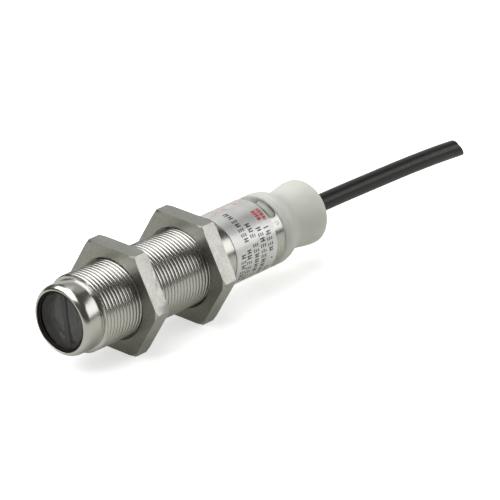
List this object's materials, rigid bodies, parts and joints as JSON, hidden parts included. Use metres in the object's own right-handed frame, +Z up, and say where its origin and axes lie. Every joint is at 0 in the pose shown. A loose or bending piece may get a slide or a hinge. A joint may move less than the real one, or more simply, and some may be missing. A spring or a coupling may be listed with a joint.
{
  "type": "photoelectric sensor",
  "caption": "Cylindrical photoelectric sensor in an M18 threaded steel barrel with jam nuts, a smoked front window, a wrap label and a moulded end bell with a cable.",
  "frame": {"origin": "under the middle of the sensor without its cable, on the plane that the two nuts' bottom flats rest on", "axes": "+X along the barrel from the lens to the cable, +Z up, away from the nuts' bottom flats, +Y across the barrel"},
  "size_m": [0.1346, 0.0278, 0.024],
  "materials": {
    "stainless_steel": "turned and polished stainless steel",
    "blasted_steel": "bead-blasted stainless steel",
    "gasket_rubber": "matte dark brown rubber",
    "smoked_plastic": "polished smoked filter plastic",
    "holder_plastic": "moulded black plastic",
    "lens_acrylic": "clear moulded acrylic",
    "led_epoxy": "tinted clear epoxy",
    "chip_compound": "black mould compound",
    "board_laminate": "green solder resist on glass laminate",
    "gold_pin": "gold plated",
    "capacitor_body": "sleeved capacitor body",
    "ferrite_core": "sintered ferrite",
    "indicator_lens": "amber diode lens",
    "label_film": "printed silver-white film",
    "sleeve_film": "clear shrink film",
    "bell_plastic": "milky translucent moulded plastic",
    "seal_rubber": "black rubber",
    "potting_resin": "cast epoxy",
    "cable_pvc": "matte black cable jacket",
    "tinned_ferrule": "tinned steel",
    "wire_brown_pvc": "brown wire insulation",
    "wire_blue_pvc": "blue wire insulation",
    "wire_black_pvc": "black wire insulation"
  },
  "bodies": {
    "sensor_body": {"barrel": "stainless_steel", "window_gasket": "gasket_rubber", "front_window": "smoked_plastic", "lens_holder": "holder_plastic", "emitter_lens": "lens_acrylic", "receiver_lens": "lens_acrylic", "emitter_led": "led_epoxy", "receiver_photodiode": "chip_compound", "optics_board": "board_laminate", "header_strip": "holder_plastic", "header_pin_1": "gold_pin", "header_pin_2": "gold_pin", "header_pin_3": "gold_pin", "header_pin_4": "gold_pin", "main_board": "board_laminate", "controller_chip": "chip_compound", "comparator_chip": "chip_compound", "voltage_regulator": "chip_compound", "output_transistor": "chip_compound", "protection_diode": "chip_compound", "suppression_inductor": "ferrite_core", "filter_capacitor": "capacitor_body", "timing_capacitor": "capacitor_body", "indicator_led": "indicator_lens", "wrap_label": "label_film", "clear_sleeve": "sleeve_film", "end_bell": "bell_plastic", "bell_seal_ring": "seal_rubber", "potting_plug": "potting_resin", "cable_root": "cable_pvc", "cable_ferrule": "tinned_ferrule", "cable": "cable_pvc", "wire_brown": "wire_brown_pvc", "wire_blue": "wire_blue_pvc", "wire_black": "wire_black_pvc"},
    "front_nut": {"front_nut": "blasted_steel"},
    "rear_nut": {"rear_nut": "blasted_steel"}
  },
  "joints": [
    {"name": "front_nut_travel", "type": "slide", "parent": "sensor_body", "child": "front_nut", "axis": [1, 0, 0], "range_m": [-0.01, 0.008]},
    {"name": "rear_nut_travel", "type": "slide", "parent": "sensor_body", "child": "rear_nut", "axis": [1, 0, 0], "range_m": [-0.008, 0.002]}
  ]
}
